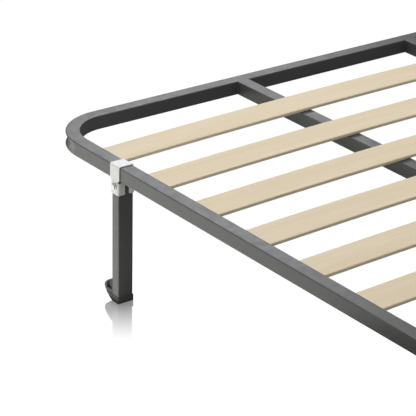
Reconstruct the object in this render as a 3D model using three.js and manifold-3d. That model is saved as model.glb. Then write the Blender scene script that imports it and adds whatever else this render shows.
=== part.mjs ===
// A slatted metal bed base: a square-tube frame with rounded corners and two lengthwise bars,
// ten arched wooden slats, and four legs held to the side rails by bolted sheet-metal clamps.
//
// Millimetres, +Z up. X runs across the bed, from the left side rail (-X) to the right one (+X).
// Y runs along the bed, with the head end at +Y. The origin is on the floor under the centre.

import * as THREE from 'three';
import { mergeVertices } from 'three/addons/utils/BufferGeometryUtils.js';
import Module from 'manifold-3d';

// ---------------------------------------------------------------- driving dimensions

const bedWidth = 1600;          // outside, across the two side rails
const bedLength = 2000;         // outside, head rail to foot rail
const railTop = 326;            // height of the frame's top face above the floor

const tubeSize = 33;            // square tube of the frame, outside
const tubeWall = 1.5;
const tubeEdgeRadius = 2.5;     // rounded long edges of the square tube
const leastBoreRadius = 0.3;    // rounding of a tube's bore, where its edge radius leaves less
const bendRadius = 117;         // centre line of the corner bends
const bendDish = 6.5;           // how far the outer wall pulls in half way round a bend

const slatCount = 10;
const firstSlatFromEnd = 230.5; // from the frame's end to the middle of the first slat
const slatWidth = 81;
const slatThickness = 8;
const slatInsertion = 18;       // length of slat end inside the side rail
const slotRoofGap = 1.8;        // from the rail's top face down to the slat's top at the slot
const slotGap = 0.6;            // clearance beside a slat in its slot
const slotRoofClearance = 0.3;  // over a slat in its slot
const slotFloorClearance = 1.2; // under a slat in its slot

const legDeeperThanRail = 5;    // across the bed
const legBreadth = 25;          // along the bed
const legWall = 1.5;
const legEdgeRadius = 2;

const clampSheet = 2;
const clampShoulder = 2.2;      // the strap is wider than the skirt by this on each side
const clampSkirt = 33.5;         // how far the clamp hangs below the rail
const clampOuterWing = 17;      // outer skirt bent round the leg's sides, depth across the bed
const clampInnerWing = 14.5;    // the same for the inner skirt
const clampBendRadius = 1.5;    // inside radius of the sheet's bends
const clampReliefHeight = 5;    // notch between strap and skirt
const clampToSlat = 1.5;        // free space between a clamp and the slat beside it

const boltDiameter = 8;
const boltDrop = 15.5;          // bolt axis below the rail's under side
const boltHeadFlats = 13;
const boltHeadHeight = 5.5;
const boltFlangeDiameter = 17.5;
const boltFlangeHeight = 1.6;
const boltEndPastNut = 3;
const nutHeight = 6.5;
const boltHoleGap = 0.4;        // radial

const shoeWall = 0.9;
const shoeCollar = 15;          // height of the collar round the leg
const shoeSole = 3;
const soleCurve = 6;            // where the flat sole starts to curve up, short of the leg's face
const heelReach = 29;           // heel lobe beyond the leg
const heelHeight = 51.5;
const heelNoseHeight = 28;      // height of the lobe's furthest point
const heelUnderside = [13, 10]; // reach behind the leg and height of a point under the lobe
const heelShoulder = [22, 39];  // the same for a point on its upper side
const heelHollowDepth = 5;      // from each side face of the heel
const heelHollowReach = 19.5;   // how far behind the leg the hollow ends
const heelHollowFloor = 25;     // height of the hollow's lower edge
const heelRim = 2.6;            // over the hollow
const heelRimAtLeg = 1.5;       // between the hollow and the leg

const contactGap = 0.3;         // between pieces that touch

// ---------------------------------------------------------------- derived places

const sideX = bedWidth / 2;
const endY = bedLength / 2;
const railMidZ = railTop - tubeSize / 2;
const railUnder = railTop - tubeSize;
const straightX = sideX - tubeSize / 2 - bendRadius;   // end of the head rail's straight part
const straightY = endY - tubeSize / 2 - bendRadius;    // end of a side rail's straight part
const barSpacing = (bedWidth - 4 * tubeSize) / 3 + tubeSize;
const barX = barSpacing / 2;

const innerFaceX = sideX - tubeSize;                   // inner face of a side rail
const slatTopAtRail = railTop - slotRoofGap;
const slatTopAtBar = railTop + contactGap + slatThickness;
const barOuterEdge = barX + tubeSize / 2;
const slatCurve = (slatTopAtBar - slatTopAtRail) / (innerFaceX ** 2 - barOuterEdge ** 2);
const slatCrown = slatTopAtRail + slatCurve * innerFaceX ** 2;
const slatHalfLength = innerFaceX + slatInsertion;
const firstSlatY = endY - firstSlatFromEnd;
const slatPitch = 2 * firstSlatY / (slatCount - 1);

const legDepth = tubeSize + legDeeperThanRail;
const skirtHalf = legBreadth / 2 + contactGap + clampSheet;
const clampWidth = 2 * (skirtHalf + clampShoulder);
const legY = firstSlatY - slatWidth / 2 - clampToSlat - clampWidth / 2;
const legMidX = sideX - legDepth / 2;                  // outer faces of leg and rail are level
const legTop = railUnder - contactGap;
const legBottom = shoeSole + contactGap;
const boltZ = railUnder - boltDrop;

// ---------------------------------------------------------------- solids and booleans

const wasm = await Module();
wasm.setup();

function toManifold(geometry) {
  const bare = geometry.index ? geometry.toNonIndexed() : geometry.clone();
  bare.deleteAttribute('normal');
  bare.deleteAttribute('uv');
  const merged = mergeVertices(bare, 1e-4);
  return new wasm.Manifold(new wasm.Mesh({
    numProp: 3,
    vertProperties: new Float32Array(merged.attributes.position.array),
    triVerts: new Uint32Array(merged.index.array),
  }));
}

function toGeometry(solid) {
  const { vertProperties, triVerts, numProp } = solid.getMesh();
  const positions = new Float32Array(vertProperties.length / numProp * 3);
  for (let i = 0; i < positions.length / 3; i++) {
    positions.set(vertProperties.subarray(i * numProp, i * numProp + 3), i * 3);
  }
  const geometry = new THREE.BufferGeometry();
  geometry.setAttribute('position', new THREE.BufferAttribute(positions, 3));
  geometry.setIndex(new THREE.BufferAttribute(new Uint32Array(triVerts), 1));
  geometry.computeVertexNormals();
  return geometry;
}

// Takes the cutters away from a shape, all given as three.js geometries.
function cut(shape, ...cutters) {
  const left = cutters.reduce((solid, cutter) => solid.subtract(toManifold(cutter)), toManifold(shape));
  return toGeometry(left);
}

function join(...shapes) {
  return toGeometry(shapes.map(toManifold).reduce((all, solid) => all.add(solid)));
}

// A box given by its lowest and highest corners.
function boxBetween(low, high) {
  const size = high.map((value, axis) => value - low[axis]);
  const geometry = new THREE.BoxGeometry(...size);
  return geometry.translate(...low.map((value, axis) => value + size[axis] / 2));
}

// A rectangle centred on the origin, with rounded corners of two facets each.
function roundedRectangle(width, height, radius) {
  const cornerSteps = 2;
  const points = [];
  for (let corner = 0; corner < 4; corner++) {
    const signX = corner === 0 || corner === 3 ? 1 : -1;
    const signY = corner < 2 ? 1 : -1;
    for (let step = 0; step <= cornerSteps; step++) {
      const angle = (corner + step / cornerSteps) * Math.PI / 2;
      points.push(new THREE.Vector2(
        signX * (width / 2 - radius) + radius * Math.cos(angle),
        signY * (height / 2 - radius) + radius * Math.sin(angle),
      ));
    }
  }
  return points;
}

function extrude(points, holes, depth) {
  const shape = new THREE.Shape(points);
  shape.holes = holes.map((hole) => new THREE.Path(hole));
  return new THREE.ExtrudeGeometry(shape, { depth, bevelEnabled: false, curveSegments: 8 });
}

// A straight hollow tube along +Z from the origin, open at both ends.
function hollowTube(width, height, wall, edgeRadius, length) {
  const boreRadius = Math.max(edgeRadius - wall, leastBoreRadius);
  const inner = roundedRectangle(width - 2 * wall, height - 2 * wall, boreRadius);
  return extrude(roundedRectangle(width, height, edgeRadius), [inner], length);
}

// Extrudes an outline of the X-Z plane along Y, between two values of Y.
function extrudeAlongY(points, holes, fromY, toY) {
  const geometry = extrude(points, holes, toY - fromY);
  return geometry.rotateX(Math.PI / 2).translate(0, toY, 0);
}

// Extrudes an outline of the Y-Z plane along X, between two values of X.
function extrudeAlongX(points, fromX, toX) {
  const geometry = extrude(points, [], toX - fromX);
  return geometry.rotateX(Math.PI / 2).rotateZ(Math.PI / 2).translate(fromX, 0, 0);
}

function cylinderAlongX(radius, fromX, toX, y, z, sides = 12) {
  const geometry = new THREE.CylinderGeometry(radius, radius, toX - fromX, sides);
  return geometry.rotateZ(Math.PI / 2).translate((fromX + toX) / 2, y, z);
}

// ---------------------------------------------------------------- materials

const coatedSteel = new THREE.MeshStandardMaterial({ color: 0x5c5e60, roughness: 0.5, metalness: 0.3 });
const zincSheet = new THREE.MeshStandardMaterial({ color: 0xd8dadb, roughness: 0.35, metalness: 0.9 });
const zincFastener = new THREE.MeshStandardMaterial({ color: 0xc4c8ca, roughness: 0.3, metalness: 0.95 });
const slatWood = new THREE.MeshStandardMaterial({ color: 0xe2d3b4, roughness: 0.6, metalness: 0 });
const darkPlastic = new THREE.MeshStandardMaterial({ color: 0x2b2c2c, roughness: 0.6, metalness: 0 });

const frame = new THREE.Group();

function addPiece(name, geometry, material, parent = frame) {
  const mesh = new THREE.Mesh(geometry, material);
  mesh.name = name;
  parent.add(mesh);
  return mesh;
}

// ---------------------------------------------------------------- frame tubes

// A side rail along Y, with one slot in its inner wall for each slat. side is -1 left, +1 right.
function sideRail(side) {
  const length = 2 * straightY - 2 * contactGap;
  const tube = hollowTube(tubeSize, tubeSize, tubeWall, tubeEdgeRadius, length)
    .rotateX(Math.PI / 2)
    .translate(side * (sideX - tubeSize / 2), length / 2, railMidZ);
  const slotTop = slatTopAtRail + slotRoofClearance;
  const slotBottom = slatTopAtRail - slatThickness - slotFloorClearance;
  const slots = [];
  for (let index = 0; index < slatCount; index++) {
    const y = firstSlatY - index * slatPitch;
    const halfWidth = slatWidth / 2 + slotGap;
    const wallSpan = [side * (innerFaceX - 1), side * (innerFaceX + tubeWall + 0.5)].sort((a, b) => a - b);
    slots.push(boxBetween([wallSpan[0], y - halfWidth, slotBottom], [wallSpan[1], y + halfWidth, slotTop]));
  }
  return cut(tube, ...slots);
}

// The head or foot rail, along X.
function endRail(end) {
  const length = 2 * straightX - 2 * contactGap;
  return hollowTube(tubeSize, tubeSize, tubeWall, tubeEdgeRadius, length)
    .rotateY(Math.PI / 2)
    .translate(-length / 2, end * (endY - tubeSize / 2), railMidZ);
}

// A lengthwise bar between the head and foot rails.
function lengthwiseBar(side) {
  const length = bedLength - 2 * tubeSize - 2 * contactGap;
  return hollowTube(tubeSize, tubeSize, tubeWall, tubeEdgeRadius, length)
    .rotateX(Math.PI / 2)
    .translate(side * barX, length / 2, railMidZ);
}

// A quarter bend of the tube. The section is a ring of points, turned step by step about the
// bend's centre. Half way round, the middle of the outer wall is pulled in by bendDish.
function cornerBend(side, end) {
  const steps = 9;
  const outer = [];
  const inner = [];
  for (const [ring, inset] of [[outer, 0], [inner, tubeWall]]) {
    const size = tubeSize - 2 * inset;
    ring.push(...roundedRectangle(size, size, Math.max(tubeEdgeRadius - inset, leastBoreRadius)));
    ring.push(new THREE.Vector2(size / 2, -size / 4));
    ring.push(new THREE.Vector2(size / 2, 0));
    ring.push(new THREE.Vector2(size / 2, size / 4));
  }
  const ringSize = outer.length;
  const positions = [];
  for (let step = 0; step <= steps; step++) {
    const turn = step / steps;
    const angle = turn * Math.PI / 2;
    for (const ring of [outer, inner]) {
      const outerFace = Math.max(...ring.map((point) => point.x));
      for (const point of ring) {
        const onOuterWall = point.x > outerFace - 1e-6;
        const across = Math.cos(point.y / tubeSize * Math.PI) ** 2;
        const pulledIn = onOuterWall ? bendDish * Math.sin(turn * Math.PI) ** 2 * across : 0;
        const radius = bendRadius + point.x - pulledIn;
        positions.push(
          side * (straightX + radius * Math.cos(angle)),
          end * (straightY + radius * Math.sin(angle)),
          railMidZ + point.y,
        );
      }
    }
  }
  const triangles = [];
  const quad = (a, b, c, d) => triangles.push(a, b, c, a, c, d);
  for (let index = 0; index < ringSize; index++) {
    const next = (index + 1) % ringSize;
    const onOuter = (step, at) => step * 2 * ringSize + at;
    const onBore = (step, at) => (step * 2 + 1) * ringSize + at;
    for (let step = 0; step < steps; step++) {
      const after = step + 1;
      quad(onOuter(step, index), onOuter(after, index), onOuter(after, next), onOuter(step, next));
      quad(onBore(step, index), onBore(step, next), onBore(after, next), onBore(after, index));
    }
    quad(onOuter(0, index), onOuter(0, next), onBore(0, next), onBore(0, index));
    quad(onOuter(steps, index), onBore(steps, index), onBore(steps, next), onOuter(steps, next));
  }
  if (side * end < 0) {
    triangles.reverse();
  }
  const geometry = new THREE.BufferGeometry();
  geometry.setAttribute('position', new THREE.Float32BufferAttribute(positions, 3));
  geometry.setIndex(triangles);
  geometry.computeVertexNormals();
  return geometry;
}

// ---------------------------------------------------------------- slats

// One slat, arched across the bed: a strip between two parallel parabolas, extruded along Y.
function slat() {
  const steps = 21;
  const top = [];
  const bottom = [];
  for (let step = 0; step <= steps; step++) {
    const x = (step / steps * 2 - 1) * slatHalfLength;
    const z = slatCrown - slatCurve * x ** 2;
    top.push(new THREE.Vector2(x, z));
    bottom.unshift(new THREE.Vector2(x, z - slatThickness));
  }
  return extrudeAlongY([...top, ...bottom].reverse(), [], -slatWidth / 2, slatWidth / 2);
}

// ---------------------------------------------------------------- legs, clamps and feet
// Each is made for the left side of the head end, in a frame whose origin is on the floor below
// the middle of the rail's outer face, with +X pointing into the bed and +Y towards the bed's end.

function leg() {
  const tube = hollowTube(legDepth, legBreadth, legWall, legEdgeRadius, legTop - legBottom)
    .translate(legDepth / 2, 0, legBottom);
  const hole = cylinderAlongX(boltDiameter / 2 + boltHoleGap, -1, legDepth + 1, 0, boltZ);
  return cut(tube, hole);
}

// The clamp's sheet, seen along the rail: an upside-down U over the rail, whose inner side steps
// out below the rail to pass the deeper leg.
function clamp() {
  const outerFace = -contactGap - clampSheet;
  const overRail = tubeSize + contactGap + clampSheet;
  const overLeg = legDepth + contactGap + clampSheet;
  const top = railTop + contactGap + clampSheet;
  const bottom = railUnder - clampSkirt;
  const stepBottom = railUnder + clampSheet;           // clear of the top of the leg
  const stepTop = stepBottom + overLeg - overRail;
  const bend = clampBendRadius + clampSheet;
  const chamfer = bend * (1 - Math.SQRT1_2);
  const halfTurn = Math.tan(Math.PI / 8);              // keeps the sheet's thickness along the sloping step
  const outline = (inset) => [
    [outerFace + inset, bottom],
    [outerFace + inset, top - bend],
    [outerFace + chamfer + inset * Math.SQRT1_2, top - chamfer - inset * Math.SQRT1_2],
    [outerFace + bend, top - inset],
    [overRail - bend, top - inset],
    [overRail - chamfer - inset * Math.SQRT1_2, top - chamfer - inset * Math.SQRT1_2],
    [overRail - inset, top - bend],
    [overRail - inset, stepTop - inset * halfTurn],
    [overLeg - inset, stepBottom - inset * halfTurn],
    [overLeg - inset, bottom],
  ].map(([x, z]) => new THREE.Vector2(x, z));
  const sheetOutline = [...outline(0), ...outline(clampSheet).reverse()];
  const strap = extrudeAlongY(sheetOutline, [], -clampWidth / 2, clampWidth / 2);

  const skirtTop = railUnder - clampReliefHeight;
  const wings = [];
  const trims = [];
  for (const end of [-1, 1]) {
    const wingY = [end * (skirtHalf - clampSheet), end * skirtHalf].sort((a, b) => a - b);
    const trimY = [end * skirtHalf, end * clampWidth].sort((a, b) => a - b);
    trims.push(boxBetween([outerFace - 1, trimY[0], bottom - 1], [overLeg + 1, trimY[1], railUnder]));
    wings.push(boxBetween([outerFace, wingY[0], bottom], [outerFace + clampOuterWing, wingY[1], skirtTop]));
    wings.push(boxBetween([overLeg - clampInnerWing, wingY[0], bottom], [overLeg, wingY[1], skirtTop]));
  }
  const hole = cylinderAlongX(boltDiameter / 2 + boltHoleGap, outerFace - 1, overLeg + 1, 0, boltZ);
  const trimmed = cut(strap, ...trims);
  return cut(join(trimmed, ...wings), hole);
}

// A flanged hexagon, as on the bolt's head and the nut, from fromX towards towards X.
function flangedHexagon(fromX, height, direction) {
  const spanX = (start, end) => [fromX + direction * start, fromX + direction * end].sort((a, b) => a - b);
  const flange = cylinderAlongX(boltFlangeDiameter / 2, ...spanX(0, boltFlangeHeight), 0, boltZ, 18);
  const hexagon = cylinderAlongX(boltHeadFlats / 2 / Math.cos(Math.PI / 6), ...spanX(0, height), 0, boltZ, 6);
  return join(flange, hexagon);
}

const boltHeadFace = -2 * contactGap - clampSheet;
const nutFace = legDepth + 2 * contactGap + clampSheet;

function clampBolt() {
  const head = flangedHexagon(boltHeadFace, boltHeadHeight, -1);
  const shankEnd = nutFace + nutHeight + boltEndPastNut;
  return join(head, cylinderAlongX(boltDiameter / 2, boltHeadFace - 1, shankEnd, 0, boltZ));
}

function clampNut() {
  const body = flangedHexagon(nutFace, nutHeight, 1);
  const boreRadius = boltDiameter / 2 + contactGap;
  const bore = cylinderAlongX(boreRadius, nutFace - 1, nutFace + nutHeight + 1, 0, boltZ);
  return cut(body, bore);
}

const heelStart = legBreadth / 2 + contactGap;
const heelNose = heelStart + heelReach;

// Side view of the foot shoe in the Y-Z plane: a collar round the leg, a flat sole that curves up
// towards the bed's end, and a rounded heel lobe behind the leg.
function shoeOutline() {
  const front = -legBreadth / 2 - contactGap - shoeWall;
  const [underReach, underHeight] = heelUnderside;
  const [shoulderReach, shoulderHeight] = heelShoulder;
  const topRound = 3;
  const shape = new THREE.Shape();
  shape.moveTo(front, 0);
  shape.lineTo(heelStart - soleCurve, 0);
  shape.quadraticCurveTo(heelStart + soleCurve / 2, 0, heelStart + underReach, underHeight);
  shape.quadraticCurveTo(heelNose, (underHeight + heelNoseHeight) / 2, heelNose, heelNoseHeight);
  shape.quadraticCurveTo(
    heelNose, (heelNoseHeight + shoulderHeight) / 2, heelStart + shoulderReach, shoulderHeight);
  shape.quadraticCurveTo(heelStart + shoulderReach / 2, heelHeight - topRound, heelStart, heelHeight);
  shape.lineTo(heelStart, shoeCollar);
  shape.lineTo(front, shoeCollar);
  return shape.extractPoints(4).shape;
}

// The hollow in each side of the heel, under the lobe's upper edge.
function heelHollowOutline() {
  const near = heelStart + heelRimAtLeg;
  const far = heelStart + heelHollowReach;
  const farTop = heelShoulder[1] - heelRim;
  const shape = new THREE.Shape();
  shape.moveTo(near, heelHollowFloor);
  shape.lineTo(far, heelHollowFloor);
  shape.lineTo(far, farTop);
  shape.quadraticCurveTo((near + far) / 2, heelHeight - 2 * heelRim, near, heelHeight - 2 * heelRim);
  return shape.extractPoints(4).shape;
}

// The collar and sole are wider than the leg. Above the collar, the heel's sides are level with
// the leg's.
function footShoe() {
  const collarFrom = -contactGap - shoeWall;
  const collarTo = legDepth - collarFrom;
  const body = extrudeAlongX(shoeOutline(), collarFrom, collarTo);
  const pocket = boxBetween(
    [-contactGap, -heelStart, shoeSole],
    [legDepth + contactGap, heelStart, heelHeight + 1],
  );
  const besideLeg = [[collarFrom - 1, 0], [legDepth, collarTo + 1]].map(([fromX, toX]) => (
    boxBetween([fromX, heelStart - 1, shoeCollar], [toX, heelNose + 1, heelHeight + 1])
  ));
  const hollow = heelHollowOutline();
  return cut(
    body,
    pocket,
    ...besideLeg,
    extrudeAlongX(hollow, collarFrom - 1, heelHollowDepth),
    extrudeAlongX(hollow, legDepth - heelHollowDepth, collarTo + 1),
  );
}

// ---------------------------------------------------------------- assembly

for (const [sideName, side] of [['left', -1], ['right', 1]]) {
  addPiece(`side_rail_${sideName}`, sideRail(side), coatedSteel);
  addPiece(`lengthwise_bar_${sideName}`, lengthwiseBar(side), coatedSteel);
}

for (const [endName, end] of [['head', 1], ['foot', -1]]) {
  addPiece(`${endName}_rail`, endRail(end), coatedSteel);
  for (const [sideName, side] of [['left', -1], ['right', 1]]) {
    addPiece(`corner_bend_${endName}_${sideName}`, cornerBend(side, end), coatedSteel);

    // Clamp, bolt and nut turn half round on the right side. Leg and shoe stay symmetric across
    // the bed, and turn half round at the foot end, so that every heel points to its own end.
    const clampPlace = new THREE.Group();
    clampPlace.position.set(side * sideX, end * legY, 0);
    clampPlace.rotation.z = side < 0 ? 0 : Math.PI;
    frame.add(clampPlace);
    addPiece(`clamp_${endName}_${sideName}`, clamp(), zincSheet, clampPlace);
    addPiece(`clamp_bolt_${endName}_${sideName}`, clampBolt(), zincFastener, clampPlace);
    addPiece(`clamp_nut_${endName}_${sideName}`, clampNut(), zincFastener, clampPlace);

    const legPlace = new THREE.Group();
    legPlace.position.set(side * legMidX + end * -legDepth / 2, end * legY, 0);
    legPlace.rotation.z = end > 0 ? 0 : Math.PI;
    frame.add(legPlace);
    addPiece(`leg_${endName}_${sideName}`, leg(), coatedSteel, legPlace);
    addPiece(`foot_shoe_${endName}_${sideName}`, footShoe(), darkPlastic, legPlace);
  }
}

for (let index = 0; index < slatCount; index++) {
  const name = `slat_${String(index + 1).padStart(2, '0')}`;
  addPiece(name, slat(), slatWood).position.y = firstSlatY - index * slatPitch;
}

export default frame;
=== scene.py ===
import math
import random

import bmesh
import bpy
from mathutils import Matrix, Vector


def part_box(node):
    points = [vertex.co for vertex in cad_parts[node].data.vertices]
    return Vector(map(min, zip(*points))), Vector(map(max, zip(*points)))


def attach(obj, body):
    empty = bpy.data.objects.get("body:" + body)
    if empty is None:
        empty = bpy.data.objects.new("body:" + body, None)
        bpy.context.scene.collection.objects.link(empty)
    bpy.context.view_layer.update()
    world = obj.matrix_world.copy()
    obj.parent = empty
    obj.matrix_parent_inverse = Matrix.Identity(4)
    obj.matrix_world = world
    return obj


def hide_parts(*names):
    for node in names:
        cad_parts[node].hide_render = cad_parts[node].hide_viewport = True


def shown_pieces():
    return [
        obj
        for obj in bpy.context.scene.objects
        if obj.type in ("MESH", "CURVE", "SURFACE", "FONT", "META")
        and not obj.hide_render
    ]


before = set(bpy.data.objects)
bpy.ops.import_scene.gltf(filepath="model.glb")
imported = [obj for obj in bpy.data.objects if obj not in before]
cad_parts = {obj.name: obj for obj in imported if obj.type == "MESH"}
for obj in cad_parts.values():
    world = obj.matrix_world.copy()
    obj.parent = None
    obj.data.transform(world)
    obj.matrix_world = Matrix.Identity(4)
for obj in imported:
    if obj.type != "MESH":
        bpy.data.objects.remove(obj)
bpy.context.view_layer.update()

scene = bpy.context.scene
random.seed(7)

# ---------------------------------------------------------------- sizes, in metres
# X runs across the bed from the left side rail (-X), +Y is the head end, and the floor is Z = 0.

MM = 0.001

rail_low, rail_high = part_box("side_rail_left")
bend_low, bend_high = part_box("corner_bend_head_left")
TUBE = rail_high.z - rail_low.z
SIDE_X = -rail_low.x
END_Y = bend_high.y
RAIL_TOP = rail_high.z
RAIL_UNDER = rail_low.z
RAIL_MID = (RAIL_TOP + RAIL_UNDER) / 2
STRAIGHT_X = -bend_high.x                  # where the head and foot rails start to bend
STRAIGHT_Y = bend_low.y                    # where the side rails start to bend
BEND_RADIUS = SIDE_X - STRAIGHT_X - TUBE / 2
TUBE_WALL = 1.5 * MM
TUBE_EDGE = 2.5 * MM
TUBE_BORE_EDGE = 1.0 * MM
BEND_STEPS = 28
BEND_DISH = 6.5 * MM                       # the outer wall sinks by this half way round a bend
DISH_POINT = 2 * MM                        # spacing of the points up the outer wall
DISH_EASE = 1.3                            # power of the fade towards the wall's edges
SAME_PLACE = 1e-7                          # places closer than this are the same

WELD_RADIUS = 1.9 * MM
WELD_RIPPLE = 0.22 * MM
WELD_RIPPLE_LENGTH = 2.6 * MM
WELD_UNEVENNESS = 0.1 * MM
WELD_STATION = 0.8 * MM                    # step between the bead's rings
WELD_SUNK = 0.4 * MM                       # from the rail's under side up to the lower bead's middle

SLAT_COUNT = 10
SLAT_THICKNESS = 8 * MM
SLAT_EDGE = 2.2 * MM
SLAT_STATIONS = 48
SLOT_BELOW_TOP = 1.55 * MM                 # from the rail's top face down to a slot's upper edge
SLOT_FLOOR_BELOW_TOP = 11 * MM
SLOT_GAP = 0.6 * MM

LEG_WALL = 1.5 * MM
LEG_EDGE = 2.0 * MM
LEG_BORE_EDGE = 0.8 * MM

SHEET = 2.0 * MM                           # thickness of the clamp's sheet
SHEET_BEND = 3.5 * MM                      # outside radius of its bends
CLAMP_GAP = 0.3 * MM
SKIRT_HALF = 14.8 * MM                     # half the skirt's outside width, along the rail
RELIEF = 5 * MM                            # notch between the strap and the skirt's wings
OUTER_WING = 17 * MM                       # how far the skirts are bent round the leg
INNER_WING = 14.5 * MM
SHEET_CHAMFER = 0.6 * MM
CORNER_CUT = 2.5 * MM                      # rounding of the sheet's free corners
CORNER_SETBACK = 0.29 * CORNER_CUT         # the corner's own point moves in along each edge
STEP_EASE = 0.6 * MM                       # softens the two bends of the step out to the leg
STEP_INSET = 0.25 * MM

SHANK_RADIUS = 4 * MM
HOLE_RADIUS = 4.4 * MM
THREAD_PITCH = 1.25 * MM
THREAD_DEPTH = 0.6 * MM
THREADED_LENGTH = 13 * MM
THREAD_LEAD = 0.4 * MM                     # from the plain shank to the thread's first ring
THREAD_STATION = 0.2 * MM                  # step between the thread's rings
THREAD_CHAMFER = 0.9 * MM
HEAD_FLATS = 13 * MM
FLANGE_HEIGHT = 1.6 * MM

SHOE_WALL = 0.9 * MM
SHOE_COLLAR = 15 * MM
SHOE_SOLE = 3 * MM
SOLE_CURVE = 6 * MM
HEEL_NOSE = 28 * MM                        # height of the heel's furthest point
HEEL_UNDERSIDE = (13 * MM, 10 * MM)        # reach behind the leg and height of a point under the heel
HEEL_SHOULDER = (22 * MM, 39 * MM)         # the same for a point on its upper side
HEEL_TOP_ROUND = 3 * MM
HOLLOW_DEPTH = 5 * MM                      # from each side face of the heel
HOLLOW_REACH = 19.5 * MM
HOLLOW_FLOOR = 25 * MM
HEEL_RIM = 2.6 * MM                        # over the hollow
HEEL_RIM_AT_LEG = 1.5 * MM
SHOE_CHAMFER = 0.4 * MM


# ---------------------------------------------------------------- node trees

class Look:
    """A material, with short calls for adding and linking its nodes."""

    def __init__(self, name):
        self.material = bpy.data.materials.new(name)
        self.material.use_nodes = True
        self.tree = self.material.node_tree
        self.tree.nodes.clear()
        self.output = self.tree.nodes.new("ShaderNodeOutputMaterial")

    def node(self, kind, inputs=None, **settings):
        made = self.tree.nodes.new("ShaderNode" + kind)
        for key, value in settings.items():
            setattr(made, key, value)
        for key, value in (inputs or {}).items():
            if isinstance(value, bpy.types.NodeSocket):
                self.tree.links.new(value, made.inputs[key])
            else:
                made.inputs[key].default_value = value
        return made

    def place(self):
        return self.node("TexCoord").outputs["Object"]

    def stretched(self, vector, scale):
        return self.node("Mapping", {"Vector": vector, "Scale": scale}).outputs["Vector"]

    def noise(self, vector, scale, detail=2.0, roughness=0.5, distortion=0.0):
        made = self.node("TexNoise", {
            "Vector": vector, "Scale": scale, "Detail": detail,
            "Roughness": roughness, "Distortion": distortion,
        })
        return made.outputs["Fac"]

    def band(self, value, from_low, from_high, to_low, to_high):
        made = self.node("MapRange", {
            "Value": value, "From Min": from_low, "From Max": from_high,
            "To Min": to_low, "To Max": to_high,
        })
        return made.outputs["Result"]

    def math(self, operation, first, second=0.0):
        made = self.node("Math", {0: first, 1: second}, operation=operation)
        return made.outputs[0]

    def mix(self, factor, first, second, blend="MIX"):
        made = self.node("Mix", data_type="RGBA", blend_type=blend)
        for index, value in ((0, factor), (6, first), (7, second)):
            if isinstance(value, bpy.types.NodeSocket):
                self.tree.links.new(value, made.inputs[index])
            else:
                made.inputs[index].default_value = value
        return made.outputs[2]

    def bump(self, height, strength, distance):
        inputs = {"Height": height, "Strength": strength, "Distance": distance}
        return self.node("Bump", inputs).outputs["Normal"]

    def finish(self, shader):
        self.tree.links.new(shader, self.output.inputs["Surface"])
        return self.material


def grey(value, tint=(1.0, 1.0, 1.0)):
    return (value * tint[0], value * tint[1], value * tint[2], 1.0)


def powder_coat():
    """Satin grey powder coating: faint orange peel, fine fleck and slow changes of tone."""
    look = Look("powder_coat")
    place = look.place()
    slow = look.noise(place, 5.0, 3.0)
    fleck = look.noise(place, 2600.0, 1.0)
    peel = look.noise(place, 700.0, 2.0, 0.45)
    tone = look.band(slow, 0.3, 0.7, 0.0, 1.0)
    colour = look.mix(tone, grey(0.068, (1.0, 1.03, 1.02)), grey(0.080, (1.0, 1.02, 1.02)))
    colour = look.mix(look.band(fleck, 0.45, 0.7, 0.0, 0.5), colour, grey(0.105))
    rough = look.band(look.noise(place, 60.0, 3.0), 0.3, 0.7, 0.30, 0.38)
    shader = look.node("BsdfPrincipled", {
        "Base Color": colour, "Roughness": rough, "Normal": look.bump(peel, 0.22, 0.0002),
    })
    return look.finish(shader.outputs[0])


def zinc(name, tone, spangle, metal, scratches):
    """Bright zinc: flat crystals in the sheet's case, fine rubbing marks and uneven gloss."""
    look = Look(name)
    place = look.place()
    crystals = look.node("TexVoronoi", {"Vector": place, "Scale": spangle}).outputs["Color"]
    crystal = look.node("SeparateColor", {"Color": crystals}).outputs[0]
    colour = look.mix(crystal, grey(tone * 0.94, (1.0, 1.005, 0.99)), grey(tone, (1.0, 1.0, 1.0)))
    dull = look.noise(place, 90.0, 4.0, 0.6)
    colour = look.mix(look.band(dull, 0.5, 0.75, 0.0, 0.35), colour, grey(tone * 0.8, (0.98, 1.0, 0.99)))
    rubbed = look.noise(look.stretched(place, (400.0, 2500.0, 160.0)), 1.0, 3.0)
    rough = look.math("ADD", look.band(dull, 0.3, 0.7, 0.30, 0.42), look.band(crystal, 0.0, 1.0, 0.0, 0.08))
    shader = look.node("BsdfPrincipled", {
        "Base Color": colour, "Metallic": metal, "Roughness": rough,
        "Normal": look.bump(rubbed, scratches, 0.0001),
    })
    return look.finish(shader.outputs[0])


PLY = SLAT_THICKNESS / 6


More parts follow.
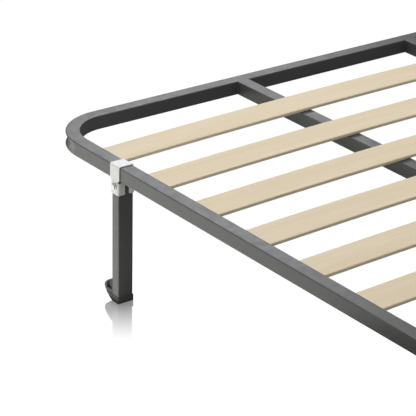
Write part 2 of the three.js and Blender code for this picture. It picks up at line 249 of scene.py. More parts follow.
def beech():
    """Laminated beech. The mesh's 'grain' attribute gives the place along and across the slat and the depth
    below its top face, so that the plies follow the arch."""
    look = Look("beech_laminate")
    grain = look.node("Attribute", attribute_name="grain").outputs["Vector"]
    seed = look.node("Attribute", attribute_name="board").outputs["Fac"]
    parts = look.node("SeparateXYZ", {"Vector": grain})
    along = look.math("MULTIPLY", seed, 17.0)
    shift = look.node("CombineXYZ", {"X": along, "Y": seed, "Z": 0.0}).outputs[0]
    depth = look.math("DIVIDE", parts.outputs["Z"], PLY)
    ply = look.math("FLOOR", look.math("ADD", depth, 0.02))
    layer = look.node("CombineXYZ", {"X": 0.0, "Y": 0.0, "Z": look.math("MULTIPLY", ply, 3.7)}).outputs[0]
    moved = look.node("VectorMath", {0: grain, 1: shift}, operation="ADD").outputs[0]
    moved = look.node("VectorMath", {0: moved, 1: layer}, operation="ADD").outputs[0]

    broad = look.noise(look.stretched(moved, (1.6, 22.0, 1.0)), 1.0, 3.0, 0.5, 0.4)
    streak = look.noise(look.stretched(moved, (4.0, 210.0, 1.0)), 1.0, 4.0, 0.55, 0.2)
    fibre = look.noise(look.stretched(moved, (30.0, 1900.0, 1.0)), 1.0, 2.0)
    flecks = look.node("TexVoronoi", {"Vector": look.stretched(moved, (260.0, 1500.0, 1.0)), "Scale": 1.0})
    fleck = look.band(flecks.outputs["Distance"], 0.10, 0.26, 1.0, 0.0)

    colour = look.mix(look.band(broad, 0.3, 0.7, 0.0, 1.0), (0.76, 0.64, 0.445, 1), (0.845, 0.74, 0.55, 1))
    colour = look.mix(look.band(streak, 0.35, 0.72, 0.0, 0.55), colour, (0.70, 0.57, 0.375, 1))
    colour = look.mix(look.band(fibre, 0.35, 0.75, 0.0, 0.28), colour, (0.66, 0.53, 0.345, 1))
    colour = look.mix(look.math("MULTIPLY", fleck, 0.30), colour, (0.62, 0.48, 0.32, 1))
    board = look.band(seed, 0.0, 1.0, 0.0, 0.45)
    colour = look.mix(board, colour, (0.78, 0.665, 0.475, 1))

    # Glue lines and paler plies show only on the cut edges, where the depth changes.
    within = look.math("FRACT", look.math("ADD", depth, 0.5))
    line = look.band(look.math("ABSOLUTE", look.math("SUBTRACT", within, 0.5)), 0.03, 0.10, 0.75, 0.0)
    inside = look.band(depth, 0.25, 0.5, 0.0, 1.0)
    colour = look.mix(look.math("MULTIPLY", inside, 0.5), colour, (0.88, 0.79, 0.60, 1))
    glue = look.math("MULTIPLY", look.math("MULTIPLY", line, inside), 0.30)
    colour = look.mix(glue, colour, (0.40, 0.29, 0.18, 1))

    rough = look.band(streak, 0.3, 0.7, 0.46, 0.60)
    relief = look.math("SUBTRACT", fibre, look.math("MULTIPLY", fleck, 0.6))
    shader = look.node("BsdfPrincipled", {
        "Base Color": colour, "Roughness": rough, "Specular IOR Level": 0.35,
        "Normal": look.bump(relief, 0.18, 0.0001),
    })
    return look.finish(shader.outputs[0])


def moulded_plastic():
    """Dark grey moulded plastic with a fine eroded grain, duller in places."""
    look = Look("moulded_plastic")
    place = look.place()
    texture = look.noise(place, 2200.0, 2.0, 0.6)
    cloud = look.noise(place, 70.0, 3.0)
    colour = look.mix(look.band(cloud, 0.3, 0.7, 0.0, 1.0), grey(0.056), grey(0.070, (1.0, 1.01, 0.99)))
    colour = look.mix(look.band(texture, 0.5, 0.8, 0.0, 0.4), colour, grey(0.085))
    rough = look.band(cloud, 0.3, 0.7, 0.48, 0.60)
    shader = look.node("BsdfPrincipled", {
        "Base Color": colour, "Roughness": rough, "Normal": look.bump(texture, 0.35, 0.00015),
    })
    return look.finish(shader.outputs[0])


STEEL = powder_coat()
ZINC_SHEET = zinc("zinc_sheet", 0.77, 240.0, 0.10, 0.25)
ZINC_FASTENER = zinc("zinc_fastener", 0.66, 900.0, 0.90, 0.10)
WOOD = beech()
PLASTIC = moulded_plastic()


# ---------------------------------------------------------------- mesh helpers

def make_mesh(name, points, faces, recalculate=True):
    mesh = bpy.data.meshes.new(name)
    mesh.from_pydata([tuple(point) for point in points], [], faces)
    if recalculate:
        work = bmesh.new()
        work.from_mesh(mesh)
        bmesh.ops.recalc_face_normals(work, faces=work.faces)
        work.to_mesh(mesh)
        work.free()
    return mesh


def rounded_section(width, height, radius, steps, right_side_stops=()):
    """Points of a rounded rectangle, anticlockwise, with extra points up its right side."""
    points = []
    for corner in range(4):
        middle_u = (width / 2 - radius) * (1 if corner in (0, 3) else -1)
        middle_v = (height / 2 - radius) * (1 if corner < 2 else -1)
        for step in range(steps + 1):
            angle = (corner + step / steps) * math.pi / 2
            points.append((middle_u + radius * math.cos(angle), middle_v + radius * math.sin(angle)))
    points.extend((width / 2, stop) for stop in right_side_stops)
    return points


def skin(points, faces, rings, loop=False, inwards=False):
    """Adds a skin of quads through rings of points, and returns the numbers of each ring's points."""
    numbers = []
    for ring in rings:
        numbers.append(list(range(len(points), len(points) + len(ring))))
        points.extend(ring)
    pairs = list(zip(numbers, numbers[1:]))
    if loop:
        pairs.append((numbers[-1], numbers[0]))
    for here, there in pairs:
        for a, b, c, d in zip(here, there, there[1:] + there[:1], here[1:] + here[:1]):
            faces.append((a, d, c, b) if inwards else (a, b, c, d))
    return numbers


def solid_loft(name, rings, bore_rings=None):
    """A closed body through rings of points, hollow from end to end if it has a bore."""
    points, faces = [], []
    outer = skin(points, faces, rings)
    if bore_rings is None:
        faces.extend([tuple(outer[0]), tuple(outer[-1])])
    else:
        bore = skin(points, faces, bore_rings, inwards=True)
        for end in (0, -1):
            around = outer[end], bore[end]
            faces.extend(zip(
                around[0], around[0][1:] + around[0][:1],
                around[1][1:] + around[1][:1], around[1],
            ))
    return make_mesh(name, points, faces)


def box_mesh(name, boxes):
    points, faces = [], []
    for low, high in boxes:
        corners = ((low[0], low[1]), (high[0], low[1]), (high[0], high[1]), (low[0], high[1]))
        rings = [[(x, y, z) for x, y in corners] for z in (low[2], high[2])]
        numbers = skin(points, faces, rings)
        faces.extend([tuple(numbers[0]), tuple(numbers[1])])
    return make_mesh(name, points, faces)


def cylinder_along_x(name, radius, from_x, to_x, y, z, sides=32):
    turns = [2 * math.pi * index / sides for index in range(sides)]
    rings = [
        [(x, y + radius * math.cos(turn), z + radius * math.sin(turn)) for turn in turns]
        for x in (from_x, to_x)
    ]
    return solid_loft(name, rings)


def with_modifiers(mesh, *steps):
    """Returns a new mesh, with modifiers applied to this one. Each step is (kind, settings)."""
    holder = bpy.data.objects.new("work", mesh)
    scene.collection.objects.link(holder)
    tools = []
    for kind, settings in steps:
        modifier = holder.modifiers.new(kind.lower(), kind)
        for key, value in settings.items():
            if isinstance(value, bpy.types.Mesh):
                tool = bpy.data.objects.new("tool", value)
                scene.collection.objects.link(tool)
                tools.append(tool)
                value = tool
            setattr(modifier, key, value)
    graph = bpy.context.evaluated_depsgraph_get()
    made = bpy.data.meshes.new_from_object(holder.evaluated_get(graph))
    for work in [holder, *tools]:
        bpy.data.objects.remove(work)
    return made


def cut(mesh, *cutters):
    settings = {"operation": "DIFFERENCE", "solver": "EXACT"}
    return with_modifiers(mesh, *[("BOOLEAN", {**settings, "object": cutter}) for cutter in cutters])


def bevelled(mesh, width, segments, degrees):
    return with_modifiers(mesh, ("BEVEL", {
        "width": width, "segments": segments, "limit_method": "ANGLE",
        "angle_limit": math.radians(degrees), "use_clamp_overlap": True,
    }))


def add_piece(name, mesh, material, replaced, sharp_degrees=40, transform=None):
    """Puts a finished mesh in the scene, in place of the CAD nodes that it stands for."""
    if transform is not None:
        mesh = mesh.copy()
        mesh.transform(transform)
    mesh.name = name
    mesh.materials.clear()
    mesh.materials.append(material)
    mesh.shade_smooth()
    mesh.set_sharp_from_angle(angle=math.radians(sharp_degrees))
    piece = bpy.data.objects.new(name, mesh)
    scene.collection.objects.link(piece)
    weighted = piece.modifiers.new("weighted", "WEIGHTED_NORMAL")
    weighted.keep_sharp = True
    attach(piece, "root")
    if replaced:
        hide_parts(*replaced)
    return piece


# ---------------------------------------------------------------- frame

def frame_ring():
    """The square tube of the frame, in one loop with its four bends."""
    wall_stops = [index * DISH_POINT for index in range(-6, 7)]
    flat = TUBE / 2 - TUBE_EDGE
    sections = []
    for inset, edge in ((0.0, TUBE_EDGE), (TUBE_WALL, TUBE_BORE_EDGE)):
        size = TUBE - 2 * inset
        sections.append(rounded_section(size, size, edge, 4, wall_stops))
    shells = [[], []]
    for quarter in range(4):
        centre_x = STRAIGHT_X * (1 if quarter in (0, 3) else -1)
        centre_y = STRAIGHT_Y * (1 if quarter < 2 else -1)
        for step in range(BEND_STEPS + 1):
            turn = step / BEND_STEPS
            angle = (quarter + turn) * math.pi / 2
            for shell, section in zip(shells, sections):
                outer_wall = max(u for u, v in section)
                ring = []
                for u, v in section:
                    sunk = 0.0
                    if u > outer_wall - SAME_PLACE:
                        across = math.cos(min(abs(v) / flat, 1.0) * math.pi / 2)
                        sunk = BEND_DISH * math.sin(turn * math.pi) * across ** DISH_EASE
                    radius = BEND_RADIUS + u - sunk
                    ring.append((
                        centre_x + radius * math.cos(angle),
                        centre_y + radius * math.sin(angle),
                        RAIL_MID + v,
                    ))
                shell.append(ring)
    points, faces = [], []
    skin(points, faces, shells[0], loop=True)
    skin(points, faces, shells[1], loop=True, inwards=True)
    ring_mesh = make_mesh("ring", points, faces, recalculate=False)

    inner_face = SIDE_X - TUBE
    slots = []
    for number in range(1, SLAT_COUNT + 1):
        low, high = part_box(f"slat_{number:02d}")
        for side in (-1, 1):
            spans = sorted((side * (inner_face - MM), side * (inner_face + TUBE_WALL + 0.6 * MM)))
            slots.append((
                (spans[0], low.y - SLOT_GAP, RAIL_TOP - SLOT_FLOOR_BELOW_TOP),
                (spans[1], high.y + SLOT_GAP, RAIL_TOP - SLOT_BELOW_TOP),
            ))
    ring_mesh = cut(ring_mesh, box_mesh("slots", slots))
    rails = ["side_rail_left", "side_rail_right", "head_rail", "foot_rail"]
    bends = [f"corner_bend_{end}_{side}" for end in ("head", "foot") for side in ("left", "right")]
    add_piece("frame_ring", ring_mesh, STEEL, rails + bends, sharp_degrees=50)


def lengthwise_bar(side_name):
    """A bar whose ends fill the rounding of the end rails' top edges, as a ground weld does."""
    low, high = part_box(f"lengthwise_bar_{side_name}")
    middle_x = (low.x + high.x) / 2
    reach = END_Y - TUBE + TUBE_EDGE
    rings, bore = [], []
    for y in (-reach, reach):
        for shell, inset, edge in ((rings, 0.0, TUBE_EDGE), (bore, TUBE_WALL, TUBE_BORE_EDGE)):
            size = TUBE - 2 * inset
            section = rounded_section(size, size, edge, 4)
            shell.append([(middle_x + u, y, RAIL_MID + v) for u, v in section])
    mesh = solid_loft("bar", rings, bore)
    add_piece(f"bar_{side_name}", mesh, STEEL, [f"lengthwise_bar_{side_name}"])


def weld_bead(start, end, name):
    """A fillet weld under the coating: a low bead with ripples, along a straight line."""
    start, end = Vector(start), Vector(end)
    along = (end - start).normalized()
    side = along.orthogonal().normalized()
    other = along.cross(side)
    length = (end - start).length
    stations = max(12, round(length / WELD_STATION))
    turns = [index * math.pi / 6 for index in range(12)]
    rings = []
    for station in range(stations + 1):
        t = station / stations
        taper = math.sqrt(max(0.0, 1 - (2 * t - 1) ** 8))
        ripple = WELD_RIPPLE * math.sin(t * length / WELD_RIPPLE_LENGTH * 2 * math.pi)
        radius = WELD_RADIUS + ripple + random.uniform(-WELD_UNEVENNESS, WELD_UNEVENNESS)
        radius *= 0.25 + 0.75 * taper
        centre = start + along * (t * length)
        rings.append([
            centre + side * (radius * math.cos(turn)) + other * (radius * math.sin(turn))
            for turn in turns
        ])
    add_piece(name, solid_loft("weld", rings), STEEL, [], sharp_degrees=70)


def bar_welds(side_name, end_name, end):
    low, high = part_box(f"lengthwise_bar_{side_name}")
    y = end * (END_Y - TUBE)
    down, up = RAIL_UNDER + TUBE_EDGE, RAIL_TOP - TUBE_EDGE - MM
    under = RAIL_UNDER + WELD_SUNK
    lines = {
        "near": ((low.x, y, down), (low.x, y, up)),
        "far": ((high.x, y, down), (high.x, y, up)),
        "under": ((low.x + TUBE_EDGE, y, under), (high.x - TUBE_EDGE, y, under)),
    }
    for place, (start, finish) in lines.items():
        weld_bead(start, finish, f"weld_{end_name}_{side_name}_{place}")


# ---------------------------------------------------------------- slats

def slat(number):
    node = f"slat_{number:02d}"
    low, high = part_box(node)
    half_length = high.x
    middle_y = (low.y + high.y) / 2
    curve = (high.z - low.z - SLAT_THICKNESS) / half_length ** 2
    section = rounded_section(high.y - low.y, SLAT_THICKNESS, SLAT_EDGE, 5)
    rings, grain = [], []
    for station in range(SLAT_STATIONS + 1):
        x = (station / SLAT_STATIONS * 2 - 1) * half_length
        top = high.z - curve * x ** 2
        rings.append([(x, middle_y + u, top - SLAT_THICKNESS / 2 + v) for u, v in section])
        grain.extend((x, u, SLAT_THICKNESS / 2 - v) for u, v in section)
    mesh = solid_loft("slat", rings)
    coordinates = mesh.attributes.new("grain", "FLOAT_VECTOR", "POINT")
    coordinates.data.foreach_set("vector", [value for point in grain for value in point])
    board = mesh.attributes.new("board", "FLOAT", "POINT")
    board.data.foreach_set("value", [random.random()] * len(mesh.vertices))
    add_piece(f"beech_{node}", mesh, WOOD, [node])


# ---------------------------------------------------------------- legs, clamps and feet

def leg(name, bolt_z):
    low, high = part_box(f"leg_{name}")
    middle = (low + high) / 2
    rings, bore = [], []
    for z in (low.z, high.z):
        for shell, inset, edge in ((rings, 0.0, LEG_EDGE), (bore, LEG_WALL, LEG_BORE_EDGE)):
            section = rounded_section(high.x - low.x - 2 * inset, high.y - low.y - 2 * inset, edge, 4)
            shell.append([(middle.x + u, middle.y + v, z) for u, v in section])
    mesh = solid_loft("leg", rings, bore)
    hole = cylinder_along_x("hole", HOLE_RADIUS, low.x - MM, high.x + MM, middle.y, bolt_z)
    add_piece(f"leg_tube_{name}", cut(mesh, hole), STEEL, [f"leg_{name}"])


def clamp_path(top, bottom, over_rail, over_leg):
    """The clamp's outer surface seen along the rail, as (x, z, zone), from the outer skirt's lower
    edge over the rail and down to the inner skirt's. x is from the rail's outer face into the bed."""
    outer = -CLAMP_GAP - SHEET
    skirt_top = RAIL_UNDER - RELIEF
    skirt = [bottom, bottom + CORNER_CUT, (bottom + skirt_top) / 2, skirt_top - CORNER_CUT, skirt_top]
    path = [(outer, z, "skirt") for z in skirt]
    path += [(outer, RAIL_UNDER, "strap"), (outer, RAIL_UNDER + CORNER_CUT, "strap")]
    path += [(outer, RAIL_MID, "strap")]
    bends = ((outer + SHEET_BEND, math.pi, math.pi / 2), (over_rail - SHEET_BEND, math.pi / 2, 0.0))
    for centre_x, first, last in bends:
        for step in range(7):
            angle = first + (last - first) * step / 6
            x = centre_x + SHEET_BEND * math.cos(angle)
            z = top - SHEET_BEND + SHEET_BEND * math.sin(angle)
            path.append((x, z, "strap"))
    step_bottom = RAIL_UNDER + SHEET
    step_top = step_bottom + over_leg - over_rail
    path += [(over_rail, RAIL_MID, "strap"), (over_rail, step_top + STEP_EASE, "strap")]
    path += [(over_rail + STEP_INSET, step_top, "strap"), (over_leg - STEP_INSET, step_bottom, "strap")]
    path += [(over_leg, step_bottom - STEP_EASE, "strap"), (over_leg, RAIL_UNDER, "strap")]
    path += [(over_leg, z, "skirt") for z in reversed(skirt)]
    return path


def clamp_mesh(bolt_z):
    """The clamp in its own frame: a strap over the rail, and two skirts with wings bent round the leg."""
    low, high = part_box("clamp_head_left")
    strap_half = (high.y - low.y) / 2
    flat_half = SKIRT_HALF - SHEET_BEND
    outer = -CLAMP_GAP - SHEET
    over_leg = high.x + SIDE_X
    over_rail = TUBE + CLAMP_GAP + SHEET
    path = clamp_path(high.z, low.z, over_rail, over_leg)

    flat_columns = [flat_half * share for share in (-1, -0.5, 0, 0.5, 1)]
    bend_turns = [math.pi / 2 * step / 5 for step in range(1, 6)]
    points, numbers, faces = [], {}, []

    def number_of(station, kind, sign, index, place):
        key = (station, kind, sign, index)
        if key not in numbers:
            numbers[key] = len(points)
            points.append(place)
        return numbers[key]

    def row(station, zone):
        """Point numbers across the sheet at one station of the path."""
        x, z, _ = path[station]
        flat = [number_of(station, "flat", 0, i, (x, y, z)) for i, y in enumerate(flat_columns)]
        if zone == "neck":
            return flat
        sides = {}
        for sign in (-1, 1):
            side = []
            if zone == "strap":
                edges = (strap_half - CORNER_CUT, strap_half)
                for i, reach in enumerate(edges):
                    y, lift = reach, 0.0
                    at_corner = abs(z - RAIL_UNDER) < SAME_PLACE and i == len(edges) - 1
                    if at_corner:
                        y -= CORNER_SETBACK
                        lift = CORNER_SETBACK
                    side.append(number_of(station, "strap", sign, i, (x, sign * y, z + lift)))
            else:
                into = 1 if x < TUBE / 2 else -1
                wing = OUTER_WING if into == 1 else INNER_WING
                wing_stops = [wing * 0.6, wing - CORNER_CUT, wing]
                for i, turn in enumerate(bend_turns):
                    place = (
                        x + into * SHEET_BEND * (1 - math.cos(turn)),
                        sign * (flat_half + SHEET_BEND * math.sin(turn)),
                        z,
                    )
                    side.append(number_of(station, "bend", sign, i, place))
                for i, stop in enumerate(wing_stops):
                    reach, lift = stop, 0.0
                    ends = {low.z: 1, RAIL_UNDER - RELIEF: -1}
                    for end_z, away in ends.items():
                        if abs(z - end_z) < SAME_PLACE and i == len(wing_stops) - 1:
                            reach -= CORNER_SETBACK
                            lift = away * CORNER_SETBACK
                    place = (x + into * reach, sign * SKIRT_HALF, z + lift)
                    side.append(number_of(station, "wing", sign, i, place))
            sides[sign] = side
        return sides[-1][::-1] + flat + sides[1]

    for station in range(len(path) - 1):
        zones = {path[station][2], path[station + 1][2]}
        zone = zones.pop() if len(zones) == 1 else "neck"
        here, there = row(station, zone), row(station + 1, zone)
        for a, b, c, d in zip(here, there, there[1:], here[1:]):
            faces.append((a, b, c, d))
    sheet = make_mesh("clamp", points, faces, recalculate=False)
    solidify = {"thickness": SHEET, "offset": -1.0, "use_even_offset": True}
    thick = with_modifiers(sheet, ("SOLIDIFY", solidify))
    hole = cylinder_along_x("hole", HOLE_RADIUS, outer - MM, over_leg + MM, 0.0, bolt_z)
    return bevelled(cut(thick, hole), SHEET_CHAMFER, 3, 40)


def hexagon_reach(angle):
    """Distance from the middle to the side of a hexagon, in the direction of angle."""
    turned = (angle + math.pi / 6) % (math.pi / 3) - math.pi / 6
    return HEAD_FLATS / 2 / math.cos(turned)


AROUND = 48


def ring_about_x(x, z, reach):
    """A ring of points round the bolt's axis. reach is a radius, or a function of the angle."""
    ring = []
    for index in range(AROUND):
        angle = index / AROUND * 2 * math.pi
        radius = reach(angle) if callable(reach) else reach
        ring.append((x, radius * math.cos(angle), z + radius * math.sin(angle)))
    return ring


def flanged_hexagon_rings(face, height, direction, flange_radius, z):
    """Rings from the seat of a flanged hexagon to the edge of its chamfered end."""
    corner = HEAD_FLATS / 2 / math.cos(math.pi / 6)
    stages = [
        (0.0, flange_radius - 0.3 * MM), (0.25 * MM, flange_radius), (0.8 * MM, flange_radius),
        (1.05 * MM, flange_radius - 0.3 * MM),
        (FLANGE_HEIGHT, lambda angle: hexagon_reach(angle) + 0.35 * MM),
        (FLANGE_HEIGHT + 0.35 * MM, hexagon_reach), (height - 1.0 * MM, hexagon_reach),
        (height - 0.55 * MM, lambda angle: min(hexagon_reach(angle), corner - 0.4 * MM)),
        (height - 0.15 * MM, lambda angle: min(hexagon_reach(angle), HEAD_FLATS / 2 - 0.1 * MM)),
        (height, HEAD_FLATS / 2 - 0.4 * MM),
    ]
    return [ring_about_x(face + direction * along, z, reach) for along, reach in stages]


def bolt_mesh(z):
    low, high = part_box("clamp_bolt_head_left")
    flange_radius = (high.y - low.y) / 2
    head_end = low.x + SIDE_X
    shank_end = high.x + SIDE_X
    face = -CLAMP_GAP * 2 - SHEET
    rings = flanged_hexagon_rings(face, face - head_end, -1, flange_radius, z)
    rings = rings[::-1]
    rings.append(ring_about_x(face, z, SHANK_RADIUS))
    thread_start = shank_end - THREADED_LENGTH
    rings.append(ring_about_x(thread_start - THREAD_LEAD, z, SHANK_RADIUS))
    count = round(THREADED_LENGTH / THREAD_STATION)
    for index in range(count + 1):
        x = thread_start + THREADED_LENGTH * index / count
        chamfer = max(0.0, x - (shank_end - THREAD_CHAMFER)) * 0.9

        def thread_reach(angle, x=x, chamfer=chamfer):
            phase = (x / THREAD_PITCH - angle / (2 * math.pi)) % 1.0
            groove = max(0.0, 1 - abs(phase - 0.5) * 2.4)
            return SHANK_RADIUS - max(THREAD_DEPTH * groove, chamfer)

        rings.append(ring_about_x(x, z, thread_reach))
    return solid_loft("bolt", rings)


def nut_mesh(z):
    low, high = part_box("clamp_nut_head_left")
    face = low.x + SIDE_X
    rings = flanged_hexagon_rings(face, high.x - low.x, 1, (high.y - low.y) / 2, z)
    bore_stages = [(0.0, 0.7), (0.5, 0.3)]
    bore = [(face + along * MM, SHANK_RADIUS + more * MM) for along, more in bore_stages]
    while len(bore) < len(rings) - 2:
        share = (len(bore) - 1) / (len(rings) - 4)
        bore.append((face + 0.5 * MM + share * (high.x - low.x - MM), SHANK_RADIUS + 0.3 * MM))
    bore += [(high.x + SIDE_X - along * MM, SHANK_RADIUS + more * MM) for along, more in bore_stages[::-1]]
    return solid_loft("nut", rings, [ring_about_x(x, z, radius) for x, radius in bore])


def curve_between(start, control, end, steps=10):
    """Points after start of a quadratic curve."""
    points = []
    for step in range(1, steps + 1):
        t = step / steps
        points.append(tuple(
            (1 - t) ** 2 * a + 2 * t * (1 - t) * b + t ** 2 * c for a, b, c in zip(start, control, end)
        ))
    return points


def shoe_outline(front, back, nose, height):
    """Side view of the shoe, as (distance towards the bed's end, height)."""
    under = (back + HEEL_UNDERSIDE[0], HEEL_UNDERSIDE[1])
    shoulder = (back + HEEL_SHOULDER[0], HEEL_SHOULDER[1])
    points = [(front, 0.0), (back - SOLE_CURVE, 0.0)]
    curves = [
        ((back + SOLE_CURVE / 2, 0.0), under),
        ((nose, (under[1] + HEEL_NOSE) / 2), (nose, HEEL_NOSE)),
        ((nose, (HEEL_NOSE + shoulder[1]) / 2), shoulder),
        ((back + HEEL_SHOULDER[0] / 2, height - HEEL_TOP_ROUND), (back, height)),
    ]
    for control, end in curves:
        points += curve_between(points[-1], control, end)
    return points + [(back, SHOE_COLLAR), (front, SHOE_COLLAR)]


def heel_hollow_outline(back, height):
    """The hollow in each side of the heel, under the heel's upper edge."""
    near, far = back + HEEL_RIM_AT_LEG, back + HOLLOW_REACH
    top = height - 2 * HEEL_RIM
    points = [(near, HOLLOW_FLOOR), (far, HOLLOW_FLOOR), (far, HEEL_SHOULDER[1] - HEEL_RIM)]
    return points + curve_between(points[-1], ((near + far) / 2, top), (near, top))


def foot_shoe(name, end):
    """A shoe whose collar and sole are wider than the leg. Above the collar, the heel is as wide
    as the leg."""
    low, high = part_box(f"foot_shoe_{name}")
    leg_low, leg_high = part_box(f"leg_{name}")
    middle_y = (leg_low.y + leg_high.y) / 2
    half_breadth = (leg_high.y - leg_low.y) / 2
    front = -half_breadth - CLAMP_GAP - SHOE_WALL
    back = half_breadth + CLAMP_GAP
    nose = max(abs(low.y - middle_y), abs(high.y - middle_y))

    def prism(label, outline, from_x, to_x):
        rings = [[(x, middle_y + end * y, z) for y, z in outline] for x in (from_x, to_x)]
        return solid_loft(label, rings)

    def block(from_x, to_x, from_reach, to_reach, from_z):
        near, far = sorted((middle_y + end * from_reach, middle_y + end * to_reach))
        return box_mesh("block", [((from_x, near, from_z), (to_x, far, high.z + MM))])

    body = prism("shoe", shoe_outline(front, back, nose, high.z), low.x, high.x)
    pocket = block(leg_low.x - CLAMP_GAP, leg_high.x + CLAMP_GAP, -back, back, SHOE_SOLE)
    beside_leg = [
        block(low.x - MM, leg_low.x, back - MM, nose + MM, SHOE_COLLAR),
        block(leg_high.x, high.x + MM, back - MM, nose + MM, SHOE_COLLAR),
    ]
    hollow = heel_hollow_outline(back, high.z)
    hollows = [
        prism("hollow", hollow, low.x - MM, leg_low.x + HOLLOW_DEPTH),
        prism("hollow", hollow, leg_high.x - HOLLOW_DEPTH, high.x + MM),
    ]
    mesh = bevelled(cut(body, pocket, *beside_leg, *hollows), SHOE_CHAMFER, 3, 35)
    add_piece(f"shoe_{name}", mesh, PLASTIC, [f"foot_shoe_{name}"], sharp_degrees=50)


# ---------------------------------------------------------------- the object

frame_ring()
for side_name in ("left", "right"):
    lengthwise_bar(side_name)
    for end_name, end in (("head", 1), ("foot", -1)):
        bar_welds(side_name, end_name, end)

for number in range(1, SLAT_COUNT + 1):
    slat(number)

bolt_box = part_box("clamp_bolt_head_left")
bolt_z = (bolt_box[0].z + bolt_box[1].z) / 2
zinc_pieces = [
    ("clamp_sheet", "clamp", clamp_mesh(bolt_z), ZINC_SHEET, "zinc_sheet", 35),
    ("flange_bolt", "clamp_bolt", bolt_mesh(bolt_z), ZINC_FASTENER, "zinc_fastener", 28),
    ("flange_nut", "clamp_nut", nut_mesh(bolt_z), ZINC_FASTENER, "zinc_fastener", 28),
]

for end_name, end in (("head", 1), ("foot", -1)):
    for side_name, side in (("left", -1), ("right", 1)):
        name = f"{end_name}_{side_name}"
        clamp_low, clamp_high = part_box(f"clamp_{name}")
        turn = Matrix.Rotation(0.0 if side < 0 else math.pi, 4, "Z")
        spot = Matrix.Translation((side * SIDE_X, (clamp_low.y + clamp_high.y) / 2, 0.0)) @ turn
        for label, node, shape, metal, slot, sharp in zinc_pieces:
            add_piece(f"{label}_{name}", shape, metal, [f"{node}_{name}"], sharp, spot)
        leg(name, bolt_z)
        foot_shoe(name, end)


# ---------------------------------------------------------------- floor, light and camera
# Places are in metres. Each lamp lights either the object, its zinc pieces or the floor.

WHITE = (1.0, 1.0, 1.0)

FLOOR_HALF = 45.0
FLOOR_DROP = 0.0003                        # keeps the floor just below the soles
FLOOR_GLOW = 1.02
FLOOR_ROUGHNESS = 0.09
POLISH_FROM, POLISH_TO = 0.02, 0.19        # distances from a leg's middle where the polish fades
POLISH_FADE = 1.1                          # power of that fade
POLISH_MOST = 0.78

WORLD_FILL = 0.14                          # radiance of the world, except where the camera sees it
ROOM = 12.0                                # distance and height of the walls that light the floor
ROOM_GLOW = 1.08

VIEW_ANGLES = (53.117, 24.158, 1.182)      # yaw from +X, downward pitch and roll, in degrees
LENS, SENSOR = 187.93, 36.0                # in millimetres
CAMERA_FROM_CORNER = (-2.3997, -3.8199, 1.8177)


def pale_floor():
    """A white floor, polished only close round each foot, so that a foot's reflection fades out."""
    look = Look("pale_floor")
    leg_low, leg_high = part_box("leg_head_right")
    foot = (leg_low + leg_high) / 2
    place = look.place()
    parts = look.node("SeparateXYZ", {"Vector": place})
    off_x = look.math("SUBTRACT", look.math("ABSOLUTE", parts.outputs["X"]), foot.x)
    off_y = look.math("SUBTRACT", look.math("ABSOLUTE", parts.outputs["Y"]), foot.y)
    offset = look.node("CombineXYZ", {"X": off_x, "Y": off_y, "Z": 0.0}).outputs[0]
    distance = look.node("VectorMath", {0: offset}, operation="LENGTH").outputs["Value"]
    polish = look.math("POWER", look.band(distance, POLISH_FROM, POLISH_TO, 1.0, 0.0), POLISH_FADE)
    glow = look.node("Emission", {"Color": (1, 1, 1, 1), "Strength": FLOOR_GLOW})
    gloss = look.node("BsdfGlossy", {"Color": (1, 1, 1, 1), "Roughness": FLOOR_ROUGHNESS})
    mixed = look.math("MULTIPLY", polish, POLISH_MOST)
    shader = look.node("MixShader", {0: mixed, 1: glow.outputs[0], 2: gloss.outputs[0]})
    signs = ((-1, -1), (1, -1), (1, 1), (-1, 1))
    mesh = make_mesh("floor", [(x * FLOOR_HALF, y * FLOOR_HALF, 0) for x, y in signs], [(0, 1, 2, 3)])
    mesh.materials.append(look.finish(shader.outputs[0]))
    floor = bpy.data.objects.new("floor", mesh)
    floor.location.z = -FLOOR_DROP
    floor.visible_diffuse = False
    floor.visible_glossy = False
    scene.collection.objects.link(floor)
    lit = bpy.data.collections.new("floor_light")
    lit.objects.link(floor)
    return lit


def softbox(name, only, centre, aim, size, radiance, colour=WHITE):
    """A rectangular lamp that lights only the objects of one collection."""
    light = bpy.data.lights.new(name, "AREA")
    light.shape = "RECTANGLE"
    light.size, light.size_y = size
    light.energy = radiance * math.pi * size[0] * size[1]
    light.color = colour
    lamp = bpy.data.objects.new(name, light)
    lamp.location = centre
    lamp.rotation_mode = "QUATERNION"
    lamp.rotation_quaternion = (Vector(aim) - Vector(centre)).to_track_quat("-Z", "Y")
    lamp.visible_camera = False
    scene.collection.objects.link(lamp)
    lamp.light_linking.receiver_collection = only


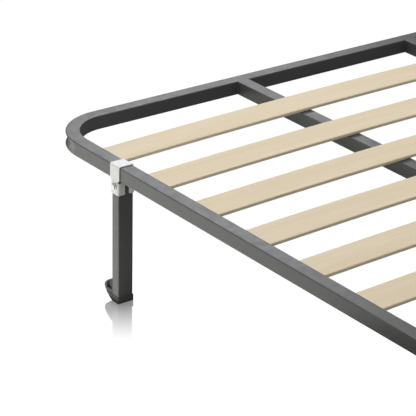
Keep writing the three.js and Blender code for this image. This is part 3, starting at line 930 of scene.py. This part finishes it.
def studio(floor_only, object_only, zinc_only):
    """A world that is white to the camera and dim elsewhere, softboxes round the object, and a
    bright room that only the floor reflects."""
    world = bpy.data.worlds.new("studio")
    world.use_nodes = True
    tree = world.node_tree
    tree.nodes.clear()
    output = tree.nodes.new("ShaderNodeOutputWorld")
    seen = tree.nodes.new("ShaderNodeBackground")
    seen.inputs["Color"].default_value = (1, 1, 1, 1)
    fill = tree.nodes.new("ShaderNodeBackground")
    fill.inputs["Color"].default_value = (1, 1, 1, 1)
    fill.inputs["Strength"].default_value = WORLD_FILL
    ray = tree.nodes.new("ShaderNodeLightPath")
    mix = tree.nodes.new("ShaderNodeMixShader")
    tree.links.new(ray.outputs["Is Camera Ray"], mix.inputs[0])
    tree.links.new(fill.outputs[0], mix.inputs[1])
    tree.links.new(seen.outputs[0], mix.inputs[2])
    tree.links.new(mix.outputs[0], output.inputs["Surface"])
    scene.world = world

    cool, warm, leafy = (0.97, 0.98, 1.0), (1.0, 1.0, 0.98), (1.0, 1.0, 0.94)
    softbox("overhead", object_only, (-0.1, 0.6, 3.4), (-0.1, 0.1, 0.0), (4.0, 4.4), 1.50)
    softbox("left", object_only, (-3.0, 1.9, 0.9), (-0.8, 0.7, 0.25), (1.8, 1.6), 0.35, (1.0, 1.0, 0.95))
    softbox("upper_left", object_only, (-1.6, 4.1, 3.3), (-0.6, 0.3, 0.3), (3.4, 1.5), 4.2)
    softbox("back", object_only, (2.2, 4.45, 2.6), (-0.8, 0.35, 0.33), (1.7, 1.2), 3.7, cool)
    softbox("bounce", object_only, (-1.70, 1.55, 0.004), (-1.70, 1.55, 1.0), (1.78, 2.5), 1.58, leafy)
    softbox("front", object_only, (0.6, -4.5, 1.6), (-0.4, 0.0, 0.2), (3.4, 2.4), 1.2, warm)
    softbox("zinc_front", zinc_only, (0.3, -3.2, 3.2), (-0.8, 0.7, 0.3), (2.4, 2.4), 3.0)
    middle = Vector((0.0, 0.0, ROOM / 2))
    for turn in range(4):
        away = Vector((math.cos(turn * math.pi / 2), math.sin(turn * math.pi / 2), 0.0))
        softbox(f"wall_{turn}", floor_only, away * ROOM + middle, middle, (2 * ROOM, ROOM), ROOM_GLOW)
    softbox("ceiling", floor_only, (0, 0, ROOM), (0, 0, 0), (2 * ROOM, 2 * ROOM), ROOM_GLOW)
    scene.view_settings.view_transform = "Standard"


def photo_camera():
    """Stands left of the foot end and looks down over the head end's left corner."""
    yaw, pitch, roll = (math.radians(angle) for angle in VIEW_ANGLES)
    forward = Vector((math.cos(yaw) * math.cos(pitch), math.sin(yaw) * math.cos(pitch), -math.sin(pitch)))
    level = Vector((math.sin(yaw), -math.cos(yaw), 0.0))
    upright = level.cross(forward)
    right = math.cos(roll) * level + math.sin(roll) * upright
    up = math.cos(roll) * upright - math.sin(roll) * level
    camera = bpy.data.cameras.new("camera")
    camera.sensor_width = SENSOR
    camera.lens = LENS
    camera.clip_start, camera.clip_end = 0.1, 200.0
    holder = bpy.data.objects.new("camera", camera)
    turn = Matrix((right, up, -forward)).transposed().to_4x4()
    corner = Vector((-SIDE_X, END_Y, RAIL_TOP))
    holder.matrix_world = Matrix.Translation(corner + Vector(CAMERA_FROM_CORNER)) @ turn
    scene.collection.objects.link(holder)
    scene.camera = holder


object_only = bpy.data.collections.new("object_light")
zinc_only = bpy.data.collections.new("zinc_light")
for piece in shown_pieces():
    object_only.objects.link(piece)
    if piece.name.startswith(("clamp_sheet", "flange")):
        zinc_only.objects.link(piece)
studio(pale_floor(), object_only, zinc_only)
photo_camera()
